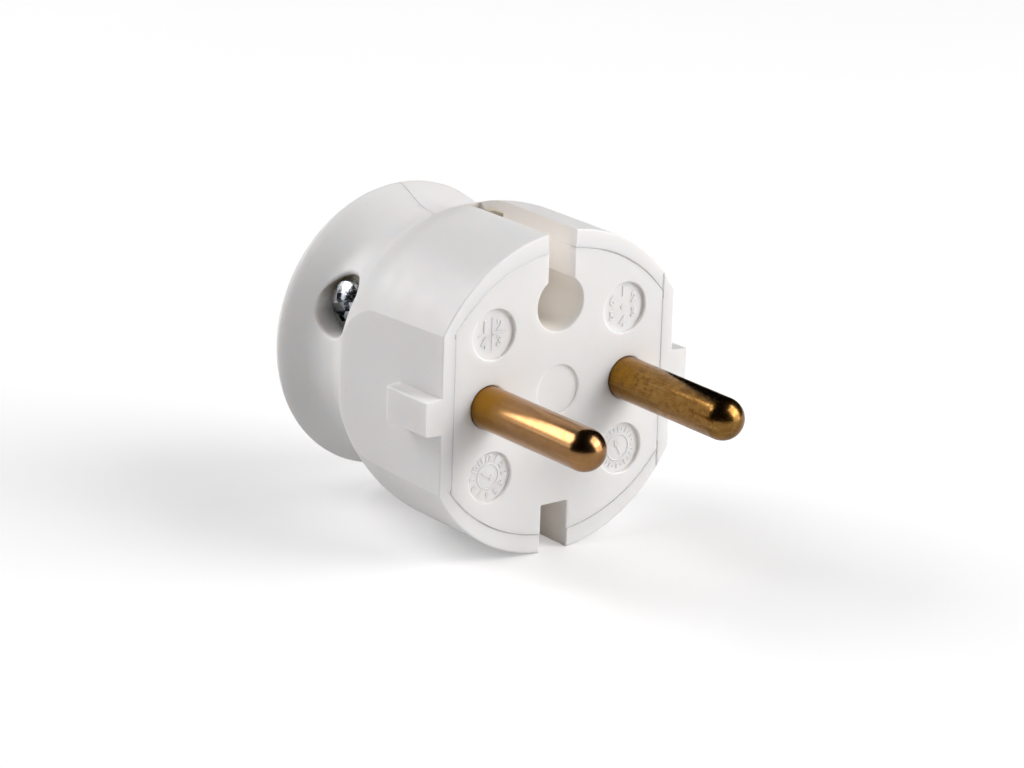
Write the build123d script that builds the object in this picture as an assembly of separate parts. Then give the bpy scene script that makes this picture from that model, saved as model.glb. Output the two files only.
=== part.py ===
from build123d import *
import os

# Round two-pole mains plug, short body, wired by its user.  Millimetres.
# Frame: origin midway between the two contact pins in the plane of the
# engagement face; +X to the right as seen from the pins, +Y to the rear
# (cord side), +Z up (the keyhole side).

# ---------------------------------------------------------------- dimensions
# contact pins
PIN_D = 4.8            # pin diameter
PIN_LEN = 19.0         # from the engagement face to the tip
PIN_PITCH = 19.0       # between the two pin axes
RELIEF_R = 2.2         # relieved shank just behind the face
STEP_R = 2.65          # stepped shank that locates the pin in the face plate
STEP_Y = 1.0           # where the step starts
HEAD_D = 7.2           # turned terminal head behind the face plate
HEAD_END = 12.2        # rear end of the terminal head
HEAD_FLAT = 3.0        # milled flat under the terminal screw, from the axis
WIRE_HOLE_D = 2.7
WIRE_HOLE_OFF = 0.5    # wire hole sits this far towards the middle
WIRE_HOLE_END = 5.4    # bottom of the wire hole
TERM_Y = 8.2           # terminal screw axis
TERM_D = 3.5
TERM_HEAD_D = 5.0

# barrel, finger groove and rear flange (outer profile, radius against y)
R_FACE = 18.31
R_MID = 18.12          # at Y_MID, where the shoulder starts
Y_MID = 12.0
Y_SHOULDER = 18.1      # rear edge of the barrel
R_SHOULDER = 16.5
R_NECK = 14.4
Y_NECK = 23.0
R_FLANGE = 16.33
Y_FLANGE = 29.2
Y_BACK = 30.2          # rear face
EDGE_R = 0.18          # rounding of the front outline

FLAT_X = 15.93         # flats on both sides of the barrel
Y_FLAT_END = 18.55
RIB_X = 17.95          # outer face of the guide rib on each flat
RIB_H = 4.1
RIB_LEN = 7.2

SLOT_W = 3.9           # slot at the top and notch at the bottom of the barrel
KEY_SLOT_W = 3.6       # the same slots where they run through the pin carrier
SLOT_END = 17.2        # how far the slots run along the barrel
SLIT_W = 0.26          # relief slits in the rim

# shell
R_BORE = 18.05         # seat of the pin carrier: upper and lower arc,
BORE_DROP = 1.85       # each centred this far beyond the middle
FLAT_IN = 14.3
COLLAR_Y0, COLLAR_Y1 = 3.4, 4.8
R_COLLAR = 16.95
R_NECK_IN = 12.4
Y_BACK_IN = 27.6
SEAM = 0.04            # half width of the witness line between the halves
OUTLET_D = 9.0         # cord outlet in the rear face

# pin carrier
R_CAR = 18.03
CAR_X = 14.285
PLATE_T = 3.2
KEY_R = 3.16           # round end of the keyhole
KEY_Z = 10.1
KEY_DEPTH = 14.8
KEY_WALL_R = 4.4
KEY_END = 16.0
NOTCH_TOP = -12.75
CHANNEL_END = 13.0
MARK_R = 2.88          # round recesses on the face
MARK_X, MARK_Z = 9.0, 8.1
MARK_DEPTH = 0.42
HUB_DEPTH = 0.24
HUB_R = 2.8

# cord clamp
CLAMP_Y = 16.4
CLAMP_X = 6.8
CORD_R = 4.05

# transverse housing screw
HS_Y, HS_Z = 22.5, 5.8
HS_TURN = -16.0        # how far the driver slot is turned from level
POCKET_R = 3.2
POCKET_EDGE = 0.4      # rounding where the pocket meets the groove
SEAT_X = -10.6
HS_TIP = 9.4
NUT_X0, NUT_X1 = 6.6, 9.0
NUT_AF = 5.5


# ------------------------------------------------------------------- helpers
def cyl_y(r, y0, y1, x=0.0, z=0.0):
    """Cylinder along Y from y0 to y1."""
    return Pos(x, (y0 + y1) / 2, z) * Rot(90, 0, 0) * Cylinder(r, y1 - y0)


def cyl_x(r, x0, x1, y=0.0, z=0.0):
    return Pos((x0 + x1) / 2, y, z) * Rot(0, 90, 0) * Cylinder(r, x1 - x0)


def cyl_z(r, z0, z1, x=0.0, y=0.0):
    return Pos(x, y, (z0 + z1) / 2) * Cylinder(r, z1 - z0)


def cone_x(r0, r1, x0, x1, y=0.0, z=0.0):
    """Truncated cone along X, radius r0 at x0 and r1 at x1."""
    return Pos((x0 + x1) / 2, y, z) * Rot(0, 90, 0) * Cone(r0, r1, x1 - x0)


def box(x0, x1, y0, y1, z0, z1):
    return Pos((x0 + x1) / 2, (y0 + y1) / 2, (z0 + z1) / 2) * Box(x1 - x0, y1 - y0, z1 - z0)


def ring_y(r_out, r_in, y0, y1):
    return cyl_y(r_out, y0, y1) - cyl_y(r_in, y0 - 1, y1 + 1)


def lens_y(r, y0, y1):
    """Prism along Y between an upper and a lower arc of radius r."""
    return cyl_y(r, y0, y1, 0, -BORE_DROP) & cyl_y(r, y0, y1, 0, BORE_DROP)


def turned(edges):
    """Solid of revolution about Y from the profile edges in the XY plane."""
    return revolve(make_face(edges), Axis.Y, 360)


def one(shape):
    """The largest solid of a result, as a plain solid."""
    return sorted(shape.solids(), key=lambda s: s.volume)[-1]


def save(shape, name):
    shape.label = name
    export_step(shape, f"parts/{name}.step")


os.makedirs("parts", exist_ok=True)


# ------------------------------------------------------- outer body of shells
def outer_profile(inset=0.0):
    """Half section of the body; inset moves the outline inwards."""
    i = inset
    barrel = Line((R_FACE - i, 0), (R_MID - i, Y_MID))
    shoulder = Spline(
        [(R_MID - i, Y_MID), (17.70 - i, 15.0), (17.18 - i, 16.6), (R_SHOULDER - i, Y_SHOULDER)],
        tangents=[(R_MID - R_FACE, Y_MID), (-0.62, 1.0)],
    )
    step = Line((R_SHOULDER - i, Y_SHOULDER), (15.62 - i, Y_FLAT_END))
    groove = Spline(
        [(15.62 - i, Y_FLAT_END), (15.0 - i, 20.0), (14.52 - i, 21.6), (R_NECK - i, Y_NECK),
         (14.56 - i, 24.8), (15.33 - i, 26.8), (16.12 - i, 28.5), (R_FLANGE - i, Y_FLANGE)],
        tangents=[(-0.62, 1.0), (0.18, 1.0)],
    )
    rim = ThreePointArc((R_FLANGE - i, Y_FLANGE), (R_FLANGE - 0.17 - i, 29.75), (R_FLANGE - 0.75 - i, Y_BACK - i))
    back = Line((R_FLANGE - 0.75 - i, Y_BACK - i), (0, Y_BACK - i))
    axis = Line((0, Y_BACK - i), (0, 0))
    front = Line((0, 0), (R_FACE - i, 0))
    return [front, barrel, shoulder, step, groove, rim, back, axis]


body = turned(outer_profile())
for s in (-1, 1):
    body -= box(min(s * FLAT_X, s * 25), max(s * FLAT_X, s * 25), -1, Y_FLAT_END - 0.02, -25, 25)
body = one(body)
front_face = body.faces().sort_by(Axis.Y)[0]
body = fillet(front_face.edges(), EDGE_R)
# soften the long edges between the flats and the round of the barrel
long_edges = [e for e in body.edges()
              if abs(abs(e.center().X) - FLAT_X) < 0.02 and abs(e.center().Z) > 7.5 and 1 < e.center().Y < 17
              and e.length > 5]
try:
    softened = fillet(long_edges, 0.2)
    if softened.is_valid and abs(softened.volume - body.volume) < 50:
        body = softened
except Exception:
    pass

# guide ribs on the flats, flush with the engagement face, slightly drafted
rib_half = RIB_H / 2
for s in (-1, 1):
    base = Plane(origin=(s * (FLAT_X - 0.8), RIB_LEN / 2, 0), x_dir=(0, 1, 0), z_dir=(s, 0, 0)) * Rectangle(RIB_LEN + 0.3, RIB_H + 0.06)
    top = Plane(origin=(s * RIB_X, RIB_LEN / 2, 0), x_dir=(0, 1, 0), z_dir=(s, 0, 0)) * Rectangle(RIB_LEN, RIB_H - 0.2)
    rib = loft(Sketch() + [base, top])
    rib = rib & box(-25, 25, 0, 25, -10, 10)
    rib = one(rib)
    rim_edges = [e for e in rib.edges() if abs(abs(e.center().X) - RIB_X) < 0.01 and e.center().Y > 0.2]
    rib = fillet(rim_edges, 0.22)
    body += rib
body = one(body)

# ------------------------------------------------------------- inner cavity
cavity = turned([
    Line((0, 13.0), (16.72, 13.0)),
    Line((16.72, 13.0), (16.66, 14.6)),
    Line((16.66, 14.6), (16.3, 15.8)),
    Line((16.3, 15.8), (14.7, 17.1)),
    Line((14.7, 17.1), (R_NECK_IN, 19.0)),
    Line((R_NECK_IN, 19.0), (R_NECK_IN, Y_BACK_IN)),
    Line((R_NECK_IN, Y_BACK_IN), (0, Y_BACK_IN)),
    Line((0, Y_BACK_IN), (0, 13.0)),
])
cavity += lens_y(R_BORE, -1, CHANNEL_END + 0.1)
cavity = cavity & box(-FLAT_IN, FLAT_IN, -2, 40, -30, 30)
# groove for the collar of the pin carrier, stopping short of the slots
groove = ring_y(R_COLLAR + 0.1, 15.4, COLLAR_Y0 - 0.1, COLLAR_Y1 + 0.1) & box(-FLAT_IN, FLAT_IN, 0, 10, -30, 30)
groove -= box(-4.0, 4.0, 0, 10, -30, 30)

shell = body - cavity - groove
# slots that pass the side earth springs of the outlet, top and bottom
shell -= box(-SLOT_W / 2, SLOT_W / 2, -1, SLOT_END, 9, 25)
shell -= box(-SLOT_W / 2, SLOT_W / 2, -1, SLOT_END, -25, -9)
# fine relief slits in the rim beside the flats: long on the right half, a
# short nick on the left half
for sx, z_start, z_end in ((-1, 8.5, 9.05), (1, 8.2, 11.1)):
    for sz in (-1, 1):
        shell -= box(sx * FLAT_IN - SLIT_W / 2, sx * FLAT_IN + SLIT_W / 2, -1, 1.6,
                     min(sz * z_start, sz * z_end), max(sz * z_start, sz * z_end))
# witness line of the parting plane, on the outside only
inner_skin = turned(outer_profile(0.35))
witness = box(-SEAM, SEAM, 16, Y_BACK + 1, -20, 20) - inner_skin
shell -= witness

# ------------------------------------------------------------ housing halves
left = shell & box(-25, 0, -5, 40, -25, 25)
right = shell & box(0, 25, -5, 40, -25, 25)

# pin retaining forks, reaching in behind the terminal heads
for s in (-1, 1):
    a, b = sorted((s * 6.6, s * (FLAT_IN + 0.4)))
    fork = box(a, b, HEAD_END + 0.05, HEAD_END + 1.55, -3.4, 3.4)
    c, d = sorted((s * 6.0, s * 10.6))
    fork -= box(c, d, 10, 16, -1.7, 1.7)
    if s < 0:
        left += fork
    else:
        right += fork

# left half: sleeve of the housing screw with the outside pocket for its head
keep_in = turned(outer_profile(0.3))
sleeve = (cyl_x(POCKET_R + 1.2, -13.5, -9.4, HS_Y, HS_Z) & keep_in) + cyl_x(3.0, -9.6, -4.6, HS_Y, HS_Z)
left += sleeve
left = one(left - cyl_x(POCKET_R, -20, SEAT_X, HS_Y, HS_Z))
pocket_rim = [e for e in left.edges()
              if e.length > 15 and (e @ 0.25).X < -11 and (e @ 0.75).X < -11
              and all(abs(((e @ t).Y - HS_Y) ** 2 + ((e @ t).Z - HS_Z) ** 2 - POCKET_R ** 2) < 0.1 for t in (0, 0.3, 0.6))]
for rad in (POCKET_EDGE, 0.3, 0.2):
    try:
        rounded = fillet(pocket_rim, rad)
        if rounded.is_valid and 0 < left.volume - rounded.volume < 20:
            left = one(rounded)
            break
    except Exception:
        continue
left -= cyl_x(1.7, -14, -4, HS_Y, HS_Z)

# right half: boss with a side slot that traps the square nut
boss = box(4.6, 12.6, HS_Y - 3.4, HS_Y + 3.4, HS_Z - 3.4, HS_Z + 3.4) & keep_in
right += boss
right -= cyl_x(1.7, 4, 10.6, HS_Y, HS_Z)
right -= box(NUT_X0 - 0.05, NUT_X1 + 0.05, HS_Y - NUT_AF / 2 - 0.05, HS_Y + NUT_AF / 2 + 0.05, HS_Z - NUT_AF / 2 - 0.05, HS_Z + 4)

# locating peg and socket low in the neck
PEG_Y, PEG_Z = 23.0, -8.0
left += cyl_x(2.6, -9.9, 0, PEG_Y, PEG_Z) & keep_in
left += cyl_x(1.4, -1, 2.4, PEG_Y, PEG_Z)
right += cyl_x(2.6, 0, 9.9, PEG_Y, PEG_Z) & keep_in
right -= cyl_x(1.5, -1, 2.8, PEG_Y, PEG_Z)

# gripping ribs for the cord inside the neck, and the outlet in the back
for s in (-1, 1):
    a, b = sorted((s * 3.9, s * 8.2))
    r = box(a, b, 26.0, 27.0, -6.5, 6.5) - cyl_y(4.3, 25, 29)
    r2 = box(min(s * 7, s * 12.5), max(s * 7, s * 12.5), 26.0, 28.2, -1.0, 1.0) & keep_in
    r3 = box(a, b, 26.0, 28.2, -6.5, 6.5) - cyl_y(4.3, 25, 29)
    if s < 0:
        left += r3
        left += r2
    else:
        right += r3
        right += r2
outlet = cyl_y(OUTLET_D / 2, 27.3, 32)
mouth = Pos(0, Y_BACK, 0) * Rot(90, 0, 0) * Cone(OUTLET_D / 2 + 0.9, OUTLET_D / 2 - 0.3, 1.2)
left = left - outlet - mouth
right = right - outlet - mouth

left = one(left)
right = one(right)

# ---------------------------------------------------------------- pin carrier
envelope = lens_y(R_CAR, -1, 30)
plate = lens_y(R_CAR, 0, PLATE_T)
skirt = lens_y(R_CAR, PLATE_T - 0.2, 6.4) - cyl_y(14.9, 0, 10)
collar = ring_y(R_COLLAR, 15.5, COLLAR_Y0, COLLAR_Y1) - box(-4.1, 4.1, 0, 10, -30, 30)
carrier = plate + skirt + collar
carrier = carrier & box(-CAR_X, CAR_X, -1, 40, -25, 25)
# keyhole tunnel with the two cheeks of its slot
carrier += cyl_y(KEY_WALL_R, 0.5, KEY_END, 0, KEY_Z)
carrier += box(-3.3, 3.3, 0.5, CHANNEL_END, KEY_Z, 17) & envelope
# channel round the bottom notch
carrier += box(-3.2, 3.2, 0.5, CHANNEL_END, -17, NOTCH_TOP + 1.2) & envelope
# terminal chambers, open to the side and to the rear
for s in (-1, 1):
    a, b = sorted((s * 4.7, s * 13.4))
    c, d = sorted((s * (PIN_PITCH / 2 - HEAD_D / 2 - 0.1), s * 20))
    carrier += box(a, b, PLATE_T - 0.2, HEAD_END, -4.9, 4.9) - box(c, d, PLATE_T, 20, -HEAD_D / 2 - 0.1, HEAD_D / 2 + 0.1)
# barrier between the poles and floor of the wiring tray
carrier += box(-0.8, 0.8, PLATE_T - 0.2, 11.0, -12.2, 6.5)
carrier += box(-9.2, 9.2, PLATE_T - 0.2, CLAMP_Y + 2.3, -6.1, -4.8)
# cord saddle and the two clamp pillars
carrier += box(-4.6, 4.6, CLAMP_Y - 1.4, CLAMP_Y + 1.4, -5.0, -1.2)
for s in (-1, 1):
    carrier += cyl_z(2.3, -8.4, 2.6, s * CLAMP_X, CLAMP_Y)
carrier -= cyl_y(CORD_R, CLAMP_Y - 4, CLAMP_Y + 4)
for s in (-1, 1):
    carrier -= cyl_z(1.27, -7.4, 4, s * CLAMP_X, CLAMP_Y)
    carrier -= cyl_y(PIN_D / 2 + 0.02, -1, PLATE_T + 1, s * PIN_PITCH / 2)
    carrier -= cyl_y(STEP_R + 0.03, STEP_Y, PLATE_T + 1, s * PIN_PITCH / 2)
# keyhole, slot and notch
carrier -= cyl_y(KEY_R, -1, KEY_DEPTH, 0, KEY_Z)
carrier -= box(-KEY_SLOT_W / 2, KEY_SLOT_W / 2, -1, CHANNEL_END + 0.01, KEY_Z, 20)
carrier -= box(-KEY_SLOT_W / 2, KEY_SLOT_W / 2, -1, CHANNEL_END - 1.2, -20, NOTCH_TOP)
# round recesses on the face
for sx in (-1, 1):
    for sz in (-1, 1):
        carrier -= cyl_y(MARK_R, -1, MARK_DEPTH, sx * MARK_X, sz * MARK_Z)
carrier -= cyl_y(HUB_R, -1, HUB_DEPTH, 0, 0.3)
carrier = one(carrier)
# soften the edges of the recesses, the keyhole and the outline on the face
face_edges = [e for e in carrier.edges() if abs(e.center().Y) < 1e-4 and abs(e.bounding_box().max.Y) < 1e-4]
softened = None
for rad in (0.12, 0.08):
    try:
        cand = fillet(face_edges, rad)
        if cand.is_valid and len(cand.solids()) == 1:
            softened = cand
            break
    except Exception:
        continue
if softened is None:
    circles = [e for e in face_edges if e.geom_type == GeomType.CIRCLE and e.length < 20 and e.radius < 3.1]
    try:
        softened = fillet(circles, 0.1)
    except Exception:
        softened = carrier
carrier = one(softened)

# ---------------------------------------------------------------------- pins
pins = {}
for name, s in (("left", -1), ("right", 1)):
    x = s * PIN_PITCH / 2
    p = cyl_y(PIN_D / 2, -(PIN_LEN - PIN_D / 2), 0.05, x)
    p += cyl_y(RELIEF_R, -0.5, STEP_Y + 0.5, x)
    p += cyl_y(STEP_R, STEP_Y + 0.03, PLATE_T + 0.5, x)
    p += Pos(x, -(PIN_LEN - PIN_D / 2), 0) * Sphere(PIN_D / 2)
    head = cyl_y(HEAD_D / 2, PLATE_T, HEAD_END, x)
    a, b = sorted((x + s * HEAD_FLAT, x + s * 10))
    head -= box(a, b, 0, 20, -6, 6)
    head = one(head)
    rear = [e for e in head.edges() if abs(e.center().Y - HEAD_END) < 1e-3]
    try:
        head = chamfer(rear, 0.3)
    except Exception:
        pass
    p += head
    wx = x - s * WIRE_HOLE_OFF
    p -= cyl_y(WIRE_HOLE_D / 2, WIRE_HOLE_END, 20, wx)
    p -= Pos(wx, HEAD_END, 0) * Rot(90, 0, 0) * Cone(WIRE_HOLE_D / 2 + 0.4, WIRE_HOLE_D / 2 - 0.1, 0.5)
    a, b = sorted((wx, x + s * 6))
    p -= cyl_x(TERM_D / 2 + 0.02, a, b, TERM_Y)
    pins[name] = one(p)

# ------------------------------------------------------------ terminal screws
terms = {}
for name, s in (("left", -1), ("right", 1)):
    x = s * PIN_PITCH / 2
    seat = x + s * (HEAD_FLAT + 0.1)
    tip = x + s * 0.35
    top = seat + s * 1.5
    a, b = sorted((tip + s * 0.3, seat + s * 0.2))
    t = cyl_x(TERM_D / 2, a, b, TERM_Y)
    if s < 0:
        t += cone_x(TERM_D / 2, TERM_D / 2 - 0.35, tip + s * 0.3, tip, TERM_Y)
    else:
        t += cone_x(TERM_D / 2 - 0.35, TERM_D / 2, tip, tip + s * 0.3, TERM_Y)
    a, b = sorted((seat, top))
    h = cyl_x(TERM_HEAD_D / 2, a, b, TERM_Y)
    rimh = [e for e in h.edges() if abs(e.center().X - top) < 1e-3]
    h = chamfer(rimh, 0.2)
    t += h
    a, b = sorted((top - s * 0.8, top + s * 1))
    t -= box(a, b, TERM_Y - 3, TERM_Y + 3, -0.45, 0.45)
    terms[name] = one(t)

# ----------------------------------------------------------------- cord clamp
strap = box(-9.3, 9.3, CLAMP_Y - 1.6, CLAMP_Y + 1.6, 2.6, 4.3)
arch = cyl_y(5.5, CLAMP_Y - 1.6, CLAMP_Y + 1.6) & box(-6, 6, 0, 30, 2.6, 6)
strap += arch
strap -= cyl_y(CORD_R, 0, 30)
for s in (-1, 1):
    strap -= cyl_z(1.5, 0, 6, s * CLAMP_X, CLAMP_Y)
strap = one(strap)
ends = [e for e in strap.edges().filter_by(Axis.Z) if abs(abs(e.center().X) - 9.3) < 1e-3]
strap = fillet(ends, 1.4)
strap = one(strap)

clamp_screws = {}
for name, s in (("left", -1), ("right", 1)):
    x = s * CLAMP_X
    c = cyl_z(1.25, -5.2, 4.5, x, CLAMP_Y)
    c += Pos(x, CLAMP_Y, -5.7) * Cone(0.35, 1.25, 1.0)
    h = cyl_z(2.4, 4.3, 5.9, x, CLAMP_Y)
    tope = [e for e in h.edges() if abs(e.center().Z - 5.9) < 1e-3]
    h = fillet(tope, 0.5)
    c += h
    c -= box(x - 3, x + 3, CLAMP_Y - 0.4, CLAMP_Y + 0.4, 5.1, 7)
    clamp_screws[name] = one(c)

# -------------------------------------------------------------- housing screw
HEAD_R = 2.75
HEAD_RIM = SEAT_X - 1.3     # top of the cylindrical part of the head
HEAD_TOP = SEAT_X - 2.5     # crown of the dome
h = HEAD_RIM - HEAD_TOP
dome_r = (HEAD_R ** 2 + h ** 2) / (2 * h)
dome = Pos(HEAD_TOP + dome_r, HS_Y, HS_Z) * Sphere(dome_r)
head = cyl_x(HEAD_R, HEAD_TOP - 0.5, SEAT_X, HS_Y, HS_Z) & dome
hs = cyl_x(1.5, SEAT_X - 0.3, HS_TIP - 0.4, HS_Y, HS_Z) + cone_x(1.5, 1.1, HS_TIP - 0.4, HS_TIP, HS_Y, HS_Z)
hs += head
# straight slot across the dome, crossed by a shorter recess
driver = box(HEAD_TOP - 1, HEAD_TOP + 1.05, -4, 4, -0.48, 0.48)
driver += box(HEAD_TOP - 1, HEAD_TOP + 1.35, -0.42, 0.42, -1.6, 1.6)
driver += cone_x(1.15, 0.3, HEAD_TOP - 0.1, HEAD_TOP + 1.5)
hs -= Pos(0, HS_Y, HS_Z) * Rot(HS_TURN, 0, 0) * driver
hs = one(hs)

nut = box(NUT_X0, NUT_X1, HS_Y - NUT_AF / 2, HS_Y + NUT_AF / 2, HS_Z - NUT_AF / 2, HS_Z + NUT_AF / 2)
nut = chamfer([e for e in nut.edges().filter_by(Axis.X)], 0.35)
nut -= cyl_x(1.52, 0, 20, HS_Y, HS_Z)
nut = one(nut)

# --------------------------------------------------------------------- export
save(left, "housing_left")
save(right, "housing_right")
save(carrier, "pin_carrier")
save(pins["left"], "pin_left")
save(pins["right"], "pin_right")
save(terms["left"], "terminal_screw_left")
save(terms["right"], "terminal_screw_right")
save(strap, "cord_clamp")
save(clamp_screws["left"], "clamp_screw_left")
save(clamp_screws["right"], "clamp_screw_right")
save(hs, "housing_screw")
save(nut, "housing_nut")
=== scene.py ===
import math

import bmesh
import bpy
from mathutils import Matrix, Vector


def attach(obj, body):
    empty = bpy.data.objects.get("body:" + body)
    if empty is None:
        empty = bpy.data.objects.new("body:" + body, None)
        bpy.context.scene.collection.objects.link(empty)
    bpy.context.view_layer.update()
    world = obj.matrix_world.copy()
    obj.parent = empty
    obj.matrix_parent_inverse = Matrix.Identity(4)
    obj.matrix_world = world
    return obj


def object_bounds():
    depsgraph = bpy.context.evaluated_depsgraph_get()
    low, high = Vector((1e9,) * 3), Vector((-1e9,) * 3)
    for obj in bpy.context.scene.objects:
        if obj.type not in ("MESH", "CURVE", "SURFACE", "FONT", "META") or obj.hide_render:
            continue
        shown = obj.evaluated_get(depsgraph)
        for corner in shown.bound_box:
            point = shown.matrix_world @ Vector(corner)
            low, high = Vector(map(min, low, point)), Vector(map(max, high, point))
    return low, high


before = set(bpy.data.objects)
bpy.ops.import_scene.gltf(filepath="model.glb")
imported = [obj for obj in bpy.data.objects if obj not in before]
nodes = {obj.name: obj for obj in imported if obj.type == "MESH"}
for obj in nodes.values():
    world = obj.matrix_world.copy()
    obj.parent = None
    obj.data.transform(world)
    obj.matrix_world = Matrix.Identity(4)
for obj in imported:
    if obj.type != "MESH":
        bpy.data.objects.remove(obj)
cad_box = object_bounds()
scene = bpy.context.scene

MM = 0.001


# ------------------------------------------------------------------ camera
# The view was fitted to the pins, the front outline, the side flats and the
# keyhole with their standard sizes held. Angles in radians, lengths in mm.
YAW, PITCH, ROLL = -0.671971691, 0.321142073, 0.0329864737
DIST = math.exp(6.58149273)
PX_PER_MM = 9.20722877
SHIFT_X, SHIFT_Y = 45.8638611, 8.22890761
IMAGE_W = 1024


def view_axes(a, e, roll):
    back = Vector((math.sin(a) * math.cos(e), -math.cos(a) * math.cos(e), math.sin(e)))
    fwd = -back
    right = Vector((math.cos(a), math.sin(a), 0.0))
    up = right.cross(fwd)
    c, s = math.cos(roll), math.sin(roll)
    return c * right + s * up, -s * right + c * up, fwd


def make_camera():
    r, u, f = view_axes(YAW, PITCH, ROLL)
    centre = -f * DIST - r * (SHIFT_X / PX_PER_MM) + u * (SHIFT_Y / PX_PER_MM)
    data = bpy.data.cameras.new("camera")
    data.sensor_fit = "HORIZONTAL"
    data.sensor_width = 36.0
    data.lens = PX_PER_MM * DIST * 36.0 / IMAGE_W
    data.clip_start = 0.01
    data.clip_end = 50.0
    cam = bpy.data.objects.new("camera", data)
    m = Matrix((
        (r.x, u.x, -f.x, centre.x * MM),
        (r.y, u.y, -f.y, centre.y * MM),
        (r.z, u.z, -f.z, centre.z * MM),
        (0, 0, 0, 1),
    ))
    cam.matrix_world = m
    scene.collection.objects.link(cam)
    scene.camera = cam


make_camera()


# ------------------------------------------------------------------- nodes
def new_material(name):
    m = bpy.data.materials.new(name)
    m.use_nodes = True
    nt = m.node_tree
    nt.nodes.clear()
    out = nt.nodes.new("ShaderNodeOutputMaterial")
    bsdf = nt.nodes.new("ShaderNodeBsdfPrincipled")
    nt.links.new(bsdf.outputs["BSDF"], out.inputs["Surface"])
    return m, nt, bsdf


def noise(nt, vec, scale, detail=4.0, rough=0.5, distortion=0.0):
    n = nt.nodes.new("ShaderNodeTexNoise")
    n.inputs["Scale"].default_value = scale
    n.inputs["Detail"].default_value = detail
    n.inputs["Roughness"].default_value = rough
    n.inputs["Distortion"].default_value = distortion
    nt.links.new(vec, n.inputs["Vector"])
    return n.outputs["Fac"]


def mapping(nt, vec, scale=(1, 1, 1), rot=(0, 0, 0), loc=(0, 0, 0)):
    n = nt.nodes.new("ShaderNodeMapping")
    n.inputs["Scale"].default_value = scale
    n.inputs["Rotation"].default_value = rot
    n.inputs["Location"].default_value = loc
    nt.links.new(vec, n.inputs["Vector"])
    return n.outputs["Vector"]


def remap(nt, val, a, b, lo, hi, smooth=False):
    n = nt.nodes.new("ShaderNodeMapRange")
    n.clamp = True
    if smooth:
        n.interpolation_type = "SMOOTHSTEP"
    n.inputs["From Min"].default_value = a
    n.inputs["From Max"].default_value = b
    n.inputs["To Min"].default_value = lo
    n.inputs["To Max"].default_value = hi
    nt.links.new(val, n.inputs["Value"])
    return n.outputs["Result"]


def math_node(nt, op, a, b=None, clamp=False):
    n = nt.nodes.new("ShaderNodeMath")
    n.operation = op
    n.use_clamp = clamp
    for i, v in enumerate((a, b)):
        if v is None:
            continue
        if isinstance(v, (int, float)):
            n.inputs[i].default_value = v
        else:
            nt.links.new(v, n.inputs[i])
    return n.outputs[0]


def mix_color(nt, fac, a, b, blend="MIX"):
    n = nt.nodes.new("ShaderNodeMix")
    n.data_type = "RGBA"
    n.blend_type = blend
    n.clamp_factor = True
    if isinstance(fac, (int, float)):
        n.inputs["Factor"].default_value = fac
    else:
        nt.links.new(fac, n.inputs["Factor"])
    for key, v in (("A", a), ("B", b)):
        sock = [s for s in n.inputs if s.name == key and s.type == "RGBA"][0]
        if isinstance(v, tuple):
            sock.default_value = (*v, 1.0)
        else:
            nt.links.new(v, sock)
    return [s for s in n.outputs if s.type == "RGBA"][0]


def bump(nt, height, strength, distance, normal=None):
    n = nt.nodes.new("ShaderNodeBump")
    n.inputs["Strength"].default_value = strength
    n.inputs["Distance"].default_value = distance
    nt.links.new(height, n.inputs["Height"])
    if normal is not None:
        nt.links.new(normal, n.inputs["Normal"])
    return n.outputs["Normal"]


def object_coords(nt):
    return nt.nodes.new("ShaderNodeTexCoord").outputs["Object"]


# --------------------------------------------------------------- materials
def sep(nt, vec):
    n = nt.nodes.new("ShaderNodeSeparateXYZ")
    nt.links.new(vec, n.inputs[0])
    return n.outputs[0], n.outputs[1], n.outputs[2]


def band(nt, val, centre, half, soft):
    """1 within half of centre, falling to 0 over soft."""
    d = math_node(nt, "ABSOLUTE", math_node(nt, "SUBTRACT", val, centre))
    return remap(nt, d, half, half + soft, 1.0, 0.0, True)


def seam_dark_line(nt, raw):
    """Thin brown line in the joint round the pin carrier,
    strongest at the upper right and the lower left."""
    x, y, z = sep(nt, raw)
    az = math_node(nt, "ABSOLUTE", z)
    zc = math_node(nt, "ADD", az, 1.85 * MM)
    r = math_node(nt, "SQRT", math_node(nt, "ADD", math_node(nt, "MULTIPLY", x, x), math_node(nt, "MULTIPLY", zc, zc)))
    ring = band(nt, r, 18.03 * MM, 0.05 * MM, 0.10 * MM)
    front = remap(nt, y, 0.0, 0.6 * MM, 1.0, 0.35)
    u_r = math_node(nt, "MULTIPLY", band(nt, x, 9.2 * MM, 3.2 * MM, 1.2 * MM), remap(nt, z, 9.0 * MM, 10.0 * MM, 0.0, 1.0, True))
    l_l = math_node(nt, "MULTIPLY", band(nt, x, -10.8 * MM, 2.8 * MM, 2.4 * MM), remap(nt, z, -8.0 * MM, -9.0 * MM, 0.0, 1.0, True))
    where = math_node(nt, "MAXIMUM", u_r, l_l)
    ragged = remap(nt, noise(nt, raw, 1500.0, 3.0, 0.6), 0.3, 0.6, 0.35, 1.0)
    g = math_node(nt, "MULTIPLY", math_node(nt, "MULTIPLY", ring, front), where)
    return math_node(nt, "MULTIPLY", g, ragged)


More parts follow.
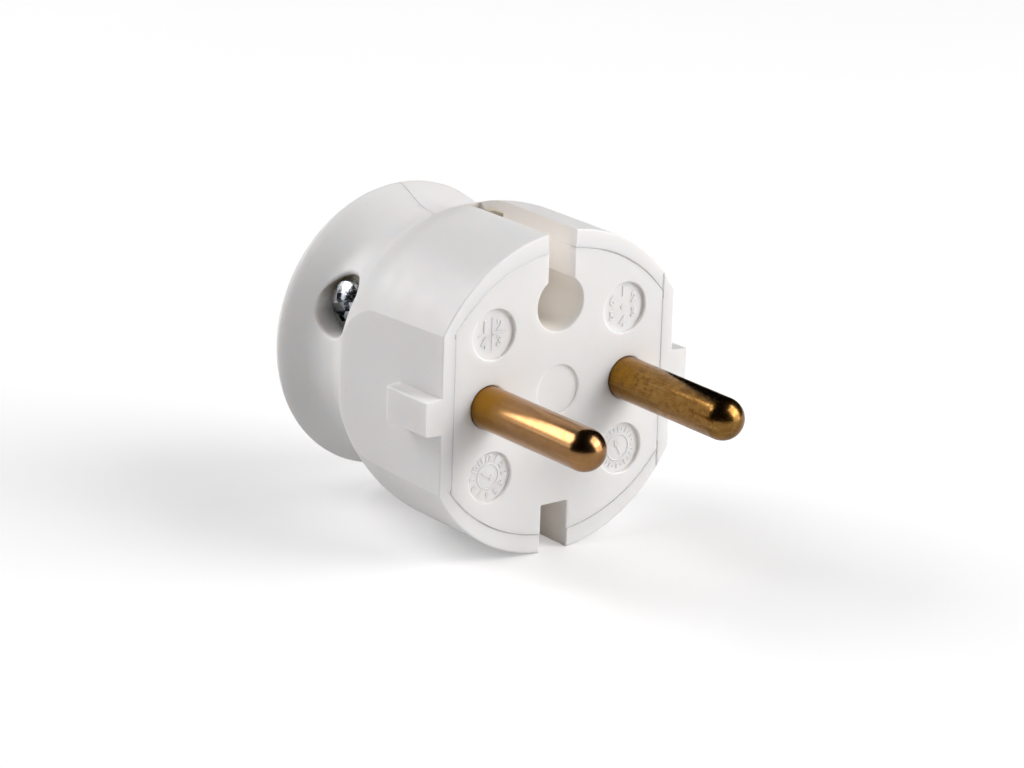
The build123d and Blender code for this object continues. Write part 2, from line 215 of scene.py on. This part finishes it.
def recess_glow_mask(nt, raw):
    """1 inside the keyhole, its slot and the notch, where a lighter, warmer white
    is painted as a glow of light coming through the plastic."""
    x, y, z = sep(nt, raw)
    ax = math_node(nt, "ABSOLUTE", x)
    zk = math_node(nt, "SUBTRACT", z, 10.1 * MM)
    rk = math_node(nt, "SQRT", math_node(nt, "ADD", math_node(nt, "MULTIPLY", x, x), math_node(nt, "MULTIPLY", zk, zk)))
    hole = remap(nt, rk, 3.22 * MM, 3.30 * MM, 1.0, 0.0)
    slot = math_node(nt, "MULTIPLY", remap(nt, ax, 2.0 * MM, 2.06 * MM, 1.0, 0.0),
                     remap(nt, math_node(nt, "ABSOLUTE", z), 9.0 * MM, 9.2 * MM, 0.0, 1.0))
    deep = remap(nt, y, 0.05 * MM, 1.6 * MM, 0.0, 1.0, True)
    ahead = remap(nt, y, 17.22 * MM, 17.28 * MM, 1.0, 0.0)
    return math_node(nt, "MULTIPLY", math_node(nt, "MAXIMUM", hole, slot), math_node(nt, "MULTIPLY", deep, ahead))


def pocket_shade(nt, raw):
    """Painted shade, brown, on the wall and the bottom of the screw pocket, darkest at the top where the rim shades the
    seat.
    """
    x, y, z = sep(nt, raw)
    dy = math_node(nt, "SUBTRACT", y, 22.5 * MM)
    dz = math_node(nt, "SUBTRACT", z, 5.8 * MM)
    r = math_node(nt, "SQRT", math_node(nt, "ADD", math_node(nt, "MULTIPLY", dy, dy), math_node(nt, "MULTIPLY", dz, dz)))
    within = remap(nt, r, 3.24 * MM, 3.40 * MM, 1.0, 0.0, True)
    side = remap(nt, x, -8.0 * MM, -6.0 * MM, 1.0, 0.0)
    high = remap(nt, math_node(nt, "ADD", dz, math_node(nt, "MULTIPLY", math_node(nt, "SUBTRACT", noise(nt, raw, 900.0, 3.0, 0.6), 0.5), 1.6 * MM)),
                 -0.6 * MM, 2.2 * MM, 0.08, 1.0, True)
    return math_node(nt, "MULTIPLY", math_node(nt, "MULTIPLY", within, side), high)


def cavity_glow_wall(nt, raw):
    """1 on the inner wall behind the shoulder, where light comes through the plastic
    and shows warm in the corner of the slot; that warm glow is painted into the colour there."""
    x, y, z = sep(nt, raw)
    r = math_node(nt, "SQRT", math_node(nt, "ADD", math_node(nt, "MULTIPLY", x, x), math_node(nt, "MULTIPLY", z, z)))
    slant = math_node(nt, "MULTIPLY", math_node(nt, "MAXIMUM", math_node(nt, "SUBTRACT", y, 15.5 * MM), 0.0), 1.2)
    off = math_node(nt, "ABSOLUTE", math_node(nt, "SUBTRACT", math_node(nt, "ADD", r, slant), 16.66 * MM))
    near = remap(nt, off, 0.22 * MM, 0.32 * MM, 1.0, 0.0)
    near = math_node(nt, "MULTIPLY", near, remap(nt, math_node(nt, "ABSOLUTE", x), 6.0 * MM, 8.0 * MM, 1.0, 0.0))
    return math_node(nt, "MULTIPLY", near, math_node(nt, "MULTIPLY", remap(nt, y, 12.8 * MM, 13.1 * MM, 0.0, 1.0),
                                                     remap(nt, y, 19.0 * MM, 19.3 * MM, 1.0, 0.0)))


def plastic(name, light, dark, seed, scatter=True):
    """White moulded plastic: faint flow shading, satin gloss that varies a
    little, a fine eroded mould texture and a few specks."""
    m, nt, b = new_material(name)
    raw = object_coords(nt)
    co = mapping(nt, raw, loc=(seed * 0.13, seed * 0.07, seed * 0.19))
    flow = noise(nt, mapping(nt, co, scale=(1.0, 0.45, 1.0)), 110.0, 3.0, 0.55, 0.6)
    cloud = remap(nt, flow, 0.35, 0.65, 0.0, 1.0, True)
    base = mix_color(nt, cloud, light, dark)
    speck = remap(nt, noise(nt, co, 1900.0, 1.0, 0.4), 0.76, 0.80, 0.0, 0.16)
    base = mix_color(nt, speck, base, (0.52, 0.48, 0.42))
    inside = recess_glow_mask(nt, raw)
    # painted glow: the keyhole, slot and notch walls are painted a lighter, warmer white, warmest lower down, for light
    # coming through the plastic
    depth = remap(nt, sep(nt, raw)[2], 12.0 * MM, 14.0 * MM, 1.0, 0.0, True)
    tone = mix_color(nt, depth, (1.0, 0.965, 0.925), (1.0, 0.955, 0.895))
    base = mix_color(nt, inside, base, tone)
    wall = cavity_glow_wall(nt, raw)
    # painted glow: warm colour on the inner wall for light coming through the plastic
    base = mix_color(nt, wall, base, (0.98, 0.90, 0.74))
    base = mix_color(nt, math_node(nt, "MULTIPLY", seam_dark_line(nt, raw), 0.40), base, (0.46, 0.38, 0.26))
    # painted shade in the screw pocket
    base = mix_color(nt, math_node(nt, "MULTIPLY", pocket_shade(nt, raw), 0.85), base, (0.30, 0.24, 0.15))
    nt.links.new(base, b.inputs["Base Color"])
    rough = remap(nt, noise(nt, co, 420.0, 4.0, 0.6), 0.3, 0.7, 0.36, 0.46)
    nt.links.new(rough, b.inputs["Roughness"])
    b.inputs["IOR"].default_value = 1.47
    if scatter:
        nt.links.new(math_node(nt, "SUBTRACT", 1.0, inside), b.inputs["Subsurface Weight"])
        b.inputs["Subsurface Radius"].default_value = (1.0, 0.94, 0.88)
        nt.links.new(remap(nt, wall, 0.0, 1.0, 0.0006, 0.004), b.inputs["Subsurface Scale"])
    fine = noise(nt, co, 5200.0, 3.0, 0.6)
    n1 = bump(nt, fine, 0.10, 0.00004)
    wave = noise(nt, co, 190.0, 2.0, 0.5)
    n2 = bump(nt, wave, 0.10, 0.0004, n1)
    nt.links.new(n2, b.inputs["Normal"])
    return m


def brass_material(name, seed, clean, end, brown, tarnish, streak):
    """Turned brass browned by handling. The film is deepest where the pin
    leaves the face, mottled along the shank and thin near the tip, with fine
    lengthwise scuffs and faint lathe lines."""
    m, nt, b = new_material(name)
    raw = object_coords(nt)
    x, y, z = sep(nt, raw)
    co = mapping(nt, raw, loc=(seed * 0.011, 0.0, seed * 0.017))
    wob = noise(nt, co, 260.0, 3.0, 0.6)
    along = math_node(nt, "ADD", y, math_node(nt, "MULTIPLY", math_node(nt, "SUBTRACT", wob, 0.5), 6.0 * MM))
    foot = remap(nt, along, -6.5 * MM, -1.5 * MM, 0.0, 1.0, True)
    blotch = noise(nt, co, 900.0, 5.0, 0.68, 0.5)
    grain = noise(nt, mapping(nt, co, scale=(1.0, 0.4, 1.0)), 3600.0, 4.0, 0.7)
    film = math_node(nt, "ADD", math_node(nt, "MULTIPLY", blotch, 0.6), math_node(nt, "MULTIPLY", grain, 0.4))
    film = remap(nt, film, 0.38, 0.64, 0.0, 1.0, True)
    film = math_node(nt, "MULTIPLY", film, tarnish)
    scuff = noise(nt, mapping(nt, co, scale=(1.0, 0.03, 1.0)), 3000.0, 3.0, 0.6)
    scuff = remap(nt, scuff, 0.54, 0.72, 0.0, streak, True)
    base = mix_color(nt, foot, clean, end)
    base = mix_color(nt, film, base, brown)
    base = mix_color(nt, scuff, base, (0.52, 0.35, 0.16))
    nt.links.new(base, b.inputs["Base Color"])
    b.inputs["Metallic"].default_value = 1.0
    rough = math_node(nt, "ADD", remap(nt, film, 0.0, 1.0, 0.17, 0.26), math_node(nt, "MULTIPLY", grain, 0.06))
    nt.links.new(rough, b.inputs["Roughness"])
    lathe = noise(nt, mapping(nt, co, scale=(0.02, 1.0, 0.02)), 9000.0, 2.0, 0.5)
    n1 = bump(nt, lathe, 0.05, 0.00003)
    n2 = bump(nt, scuff, 0.08, 0.00003, n1)
    nt.links.new(n2, b.inputs["Normal"])
    return m


def steel_material(name, seed):
    """Bright zinc plated steel with driver scratches and a grey film."""
    m, nt, b = new_material(name)
    co = mapping(nt, object_coords(nt), loc=(seed * 0.021, seed * 0.013, 0.0))
    cloud = noise(nt, co, 900.0, 4.0, 0.6)
    base = mix_color(nt, remap(nt, cloud, 0.35, 0.65, 0.0, 1.0, True), (0.66, 0.69, 0.72), (0.40, 0.44, 0.48))
    # the lower half of the head in the pocket is painted dark: painted shade and dark reflection
    x, y, z = sep(nt, object_coords(nt))
    low = math_node(nt, "ADD", z, math_node(nt, "MULTIPLY", math_node(nt, "SUBTRACT", cloud, 0.5), 2.4 * MM))
    head = math_node(nt, "MULTIPLY", remap(nt, x, -8.0 * MM, -7.0 * MM, 1.0, 0.0), remap(nt, y, 18.8 * MM, 19.0 * MM, 0.0, 1.0))
    film = math_node(nt, "MULTIPLY", remap(nt, low, 4.9 * MM, 6.2 * MM, 0.7, 0.0, True), head)
    base = mix_color(nt, film, base, (0.10, 0.105, 0.11))
    nt.links.new(base, b.inputs["Base Color"])
    b.inputs["Metallic"].default_value = 1.0
    scratch = noise(nt, mapping(nt, co, scale=(1.0, 0.2, 1.0), rot=(0.6, 0.0, 0.3)), 4200.0, 3.0, 0.7)
    rough = remap(nt, scratch, 0.35, 0.7, 0.14, 0.34)
    nt.links.new(rough, b.inputs["Roughness"])
    n1 = bump(nt, scratch, 0.25, 0.00004)
    n2 = bump(nt, noise(nt, co, 1500.0, 3.0, 0.6), 0.22, 0.00012, n1)
    nt.links.new(n2, b.inputs["Normal"])
    return m


mat_housing = plastic("white_housing", (0.93, 0.918, 0.908), (0.915, 0.90, 0.888), 1)
mat_carrier = plastic("white_carrier", (0.93, 0.916, 0.902), (0.915, 0.90, 0.882), 5)
# a slightly darker copy of the face plastic without scatter: painted shade that makes the dials' low relief read
mat_dial_shaded = plastic("white_dial_shaded", (0.895, 0.882, 0.868), (0.88, 0.866, 0.85), 5, scatter=False)
mat_pin_left = brass_material("brass_polished", 1, (0.39, 0.21, 0.092), (0.38, 0.175, 0.016), (0.30, 0.155, 0.04), 0.45, 0.25)
mat_pin_right = brass_material("brass_browned", 7, (0.33, 0.18, 0.05), (0.34, 0.165, 0.018), (0.21, 0.10, 0.022), 0.95, 0.4)
mat_steel = steel_material("zinc_steel", 2)


def dress(node, material):
    o = nodes[node]
    if not o.data.materials:
        o.data.materials.append(material)
    for i in range(len(o.material_slots)):
        o.material_slots[i].material = material


for n in ("housing_left", "housing_right"):
    dress(n, mat_housing)
for n in ("pin_carrier", "cord_clamp"):
    dress(n, mat_carrier)
dress("pin_left", mat_pin_left)
dress("pin_right", mat_pin_right)
for n in ("terminal_screw_left", "terminal_screw_right", "clamp_screw_left", "clamp_screw_right",
          "housing_screw", "housing_nut"):
    dress(n, mat_steel)


# ------------------------------------------------------------------- dials
# The four outer recesses of the face hold round mould dials in low relief:
# plain numbers, ticks and an arrow. Lengths in mm, on the recess floor.
RECESS_X, RECESS_Z, RECESS_Y = 9.0, 8.1, 0.42
RELIEF = 0.07


def dial_text(bm, body, size, cx, cz, turn=0.0):
    data = bpy.data.curves.new("dial_text", "FONT")
    data.body = body
    data.size = size * MM
    data.align_x = "CENTER"
    data.align_y = "CENTER"
    data.resolution_u = 4
    data.extrude = (RELIEF - 0.005) * MM
    data.bevel_depth = 0.035 * MM
    data.bevel_resolution = 1
    data.offset = 0.028 * size * MM
    o = bpy.data.objects.new("dial_text", data)
    scene.collection.objects.link(o)
    bpy.context.view_layer.update()
    me = bpy.data.meshes.new_from_object(o.evaluated_get(bpy.context.evaluated_depsgraph_get()))
    c, t = math.cos(turn), math.sin(turn)
    me.transform(Matrix((
        (c, -t, 0, cx * MM),
        (0, 0, -1, (RECESS_Y + 0.03) * MM),
        (t, c, 0, cz * MM),
        (0, 0, 0, 1),
    )))
    bm.from_mesh(me)
    bpy.data.objects.remove(o)
    bpy.data.curves.remove(data)
    bpy.data.meshes.remove(me)


def dial_pad(bm, outline, cx, cz, height=RELIEF, draft=0.04):
    """Raised pad with a flat top and drafted sides over a convex or simple
    outline given counterclockwise as seen from the pins."""
    n = len(outline)
    mx = sum(p[0] for p in outline) / n
    mz = sum(p[1] for p in outline) / n
    low, top = [], []
    for x, z in outline:
        d = math.hypot(x - mx, z - mz) or 1.0
        k = max(0.0, 1.0 - draft / d)
        low.append(bm.verts.new(((cx + x) * MM, (RECESS_Y + 0.08) * MM, (cz + z) * MM)))
        top.append(bm.verts.new(((cx + mx + (x - mx) * k) * MM, (RECESS_Y - height) * MM, (cz + mz + (z - mz) * k) * MM)))
    bm.faces.new(top)
    bm.faces.new(list(reversed(low)))
    for i in range(n):
        j = (i + 1) % n
        bm.faces.new((low[i], low[j], top[j], top[i]))


def dial_ring(bm, r0, r1, cx, cz, height, steps=72):
    """Raised ring between r0 and r1 with a rounded top."""
    section = []
    mid, half = (r0 + r1) / 2, (r1 - r0) / 2
    for k in range(7):
        a = math.pi * k / 6
        section.append((mid - half * math.cos(a), RECESS_Y - height * math.sin(a)))
    section = [(r0, RECESS_Y + 0.08)] + section + [(r1, RECESS_Y + 0.08)]
    rings = []
    for i in range(steps):
        a = 2 * math.pi * i / steps
        rings.append([bm.verts.new(((cx + r * math.cos(a)) * MM, y * MM, (cz + r * math.sin(a)) * MM)) for r, y in section])
    for i in range(steps):
        p, q = rings[i], rings[(i + 1) % steps]
        for k in range(len(section)):
            m = (k + 1) % len(section)
            bm.faces.new((p[k], p[m], q[m], q[k]))


def dial_bar(bm, length, width, r, a, cx, cz, height=RELIEF):
    """Small bar of the given length along the radius at angle a."""
    c, t = math.cos(a), math.sin(a)
    pts = []
    for u, v in ((-length / 2, -width / 2), (length / 2, -width / 2), (length / 2, width / 2), (-length / 2, width / 2)):
        pts.append(((r + u) * c - v * t, (r + u) * t + v * c))
    dial_pad(bm, pts, cx, cz, height)


def dial_dot(bm, radius, r, a, cx, cz, height=RELIEF):
    x, z = r * math.cos(a), r * math.sin(a)
    dial_pad(bm, [(x + radius * math.cos(2 * math.pi * k / 12), z + radius * math.sin(2 * math.pi * k / 12)) for k in range(12)], cx, cz, height)


def dial_arrow(bm, a, cx, cz, reach=1.05):
    c, t = math.cos(a), math.sin(a)

    def at(u, v):
        return (u * c - v * t, u * t + v * c)
    dial_pad(bm, [at(reach * 0.30, -0.36), at(reach, 0.0), at(reach * 0.30, 0.36)], cx, cz)
    dial_pad(bm, [at(-reach * 0.9, -0.12), at(reach * 0.34, -0.12), at(reach * 0.34, 0.12), at(-reach * 0.9, 0.12)], cx, cz)


def dial_piece(name, bm):
    bmesh.ops.recalc_face_normals(bm, faces=bm.faces)
    me = bpy.data.meshes.new(name)
    bm.to_mesh(me)
    bm.free()
    me.materials.append(mat_dial_shaded)
    for p in me.polygons:
        p.use_smooth = False
    o = bpy.data.objects.new(name, me)
    scene.collection.objects.link(o)
    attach(o, "root")


def make_dials():
    # twelve numbers round an arrow
    bm = bmesh.new()
    cx, cz = -RECESS_X, -RECESS_Z
    for k in range(12):
        a = math.pi / 2 - 2 * math.pi * (k + 1) / 12
        dial_text(bm, str(k + 1), 0.95, cx + 2.12 * math.cos(a), cz + 2.12 * math.sin(a), a - math.pi / 2)
    dial_ring(bm, 1.32, 1.52, cx, cz, 0.05)
    dial_arrow(bm, math.radians(-28), cx, cz)
    dial_piece("dial_lower_left", bm)
    # ticks round an arrow
    bm = bmesh.new()
    cx, cz = RECESS_X, -RECESS_Z
    for k in range(24):
        a = 2 * math.pi * k / 24
        dial_bar(bm, 0.62 if k % 2 == 0 else 0.34, 0.20, 2.15, a, cx, cz, 0.06)
    dial_ring(bm, 1.38, 1.58, cx, cz, 0.05)
    dial_arrow(bm, math.radians(118), cx, cz)
    dial_piece("dial_lower_right", bm)
    # four numbers parted by a cross of two bars
    bm = bmesh.new()
    cx, cz = -RECESS_X, RECESS_Z
    for k, (dx, dz) in enumerate(((-1.02, 0.92), (1.02, 0.92), (1.02, -0.92), (-1.02, -0.92))):
        dial_text(bm, str(k + 1), 1.75, cx + dx, cz + dz)
    dial_bar(bm, 3.9, 0.18, 0.0, 0.0, cx, cz, 0.045)
    dial_bar(bm, 3.9, 0.18, 0.0, math.pi / 2, cx, cz, 0.045)
    dial_piece("dial_upper_left", bm)
    # six numbers round a dot
    bm = bmesh.new()
    cx, cz = RECESS_X, RECESS_Z
    for k in range(6):
        a = math.pi / 2 - 2 * math.pi * k / 6
        dial_text(bm, str(k + 1), 1.45, cx + 1.72 * math.cos(a), cz + 1.72 * math.sin(a))
    dial_dot(bm, 0.34, 0.0, 0.0, cx, cz, 0.06)
    dial_piece("dial_upper_right", bm)


make_dials()


# ------------------------------------------------------------------- floor
FLOOR_Z = cad_box[0][2] - 0.00002


def make_floor():
    bm = bmesh.new()
    n, size = 24, 3.2
    grid = [[bm.verts.new(((i / n - 0.5) * size, (j / n - 0.5) * size, FLOOR_Z)) for j in range(n + 1)] for i in range(n + 1)]
    for i in range(n):
        for j in range(n):
            bm.faces.new((grid[i][j], grid[i + 1][j], grid[i + 1][j + 1], grid[i][j + 1]))
    me = bpy.data.meshes.new("floor")
    bm.to_mesh(me)
    bm.free()
    floor = bpy.data.objects.new("floor", me)
    scene.collection.objects.link(floor)
    m, nt, b = new_material("floor_paper")
    co = object_coords(nt)
    tone = remap(nt, noise(nt, co, 9.0, 3.0, 0.5), 0.3, 0.7, 0.0, 1.0, True)
    nt.links.new(mix_color(nt, tone, (0.80, 0.80, 0.80), (0.785, 0.785, 0.785)), b.inputs["Base Color"])
    b.inputs["Roughness"].default_value = 0.85
    b.inputs["Specular IOR Level"].default_value = 0.2
    # lit table: the paper glows where the camera sees it, so the ground stays
    # white and the shadows on it pale
    b.inputs["Emission Color"].default_value = (1.0, 1.0, 1.0, 1.0)
    path = nt.nodes.new("ShaderNodeLightPath")
    glow = remap(nt, path.outputs["Is Camera Ray"], 0.0, 1.0, 0.0, 0.34)
    nt.links.new(glow, b.inputs["Emission Strength"])
    nt.links.new(bump(nt, noise(nt, co, 900.0, 3.0, 0.6), 0.05, 0.0002), b.inputs["Normal"])
    me.materials.append(m)


make_floor()


# ------------------------------------------------------------------ lights
# name, direction from the object, distance, width, height, watts, colour
LIGHTS = [
    ("key_low", (0.64, -0.70, 0.28), 0.80, 0.60, 0.66, 3.35, (1.0, 0.99, 0.995)),
    ("key_high", (0.53, -0.58, 0.65), 0.80, 0.60, 0.56, 4.12, (1.0, 0.99, 0.995)),
    ("rear_left", (-0.42, 0.74, 0.54), 0.90, 0.55, 0.40, 4.35, (1.0, 0.985, 0.99)),
    ("rear_low", (-0.70, 0.68, 0.20), 0.90, 0.40, 0.30, 0.52, (1.0, 0.985, 0.99)),
    ("top_left", (-0.40, 0.22, 0.89), 0.90, 0.40, 0.40, 1.28, (1.0, 0.985, 0.99)),
]
BACKDROP = (0.86, 0.86, 0.86)
TARGET = Vector((0.0, 0.006, 0.0))


def make_lights():
    for name, d, dist, w, h, watts, colour in LIGHTS:
        if watts <= 0:
            continue
        data = bpy.data.lights.new(name, "AREA")
        data.shape = "RECTANGLE"
        data.size, data.size_y = w, h
        data.energy = watts
        data.color = colour
        o = bpy.data.objects.new(name, data)
        p = TARGET + Vector(d).normalized() * dist
        o.location = p
        o.rotation_mode = "QUATERNION"
        o.rotation_quaternion = (TARGET - p).to_track_quat("-Z", "Y")
        scene.collection.objects.link(o)
        if name == "top_left":
            o.visible_glossy = False
    world = bpy.data.worlds.new("studio")
    world.use_nodes = True
    # The studio is dark round the softboxes; only the backdrop seen past the
    # floor is pale.
    wt = world.node_tree
    bg = wt.nodes["Background"]
    bg.inputs["Color"].default_value = (*BACKDROP, 1.0)
    path = wt.nodes.new("ShaderNodeLightPath")
    wt.links.new(path.outputs["Is Camera Ray"], bg.inputs["Strength"])
    scene.world = world


make_lights()
scene.view_settings.view_transform = "Standard"
scene.view_settings.look = "None"
scene.view_settings.exposure = 0.0
scene.view_settings.gamma = 1.0
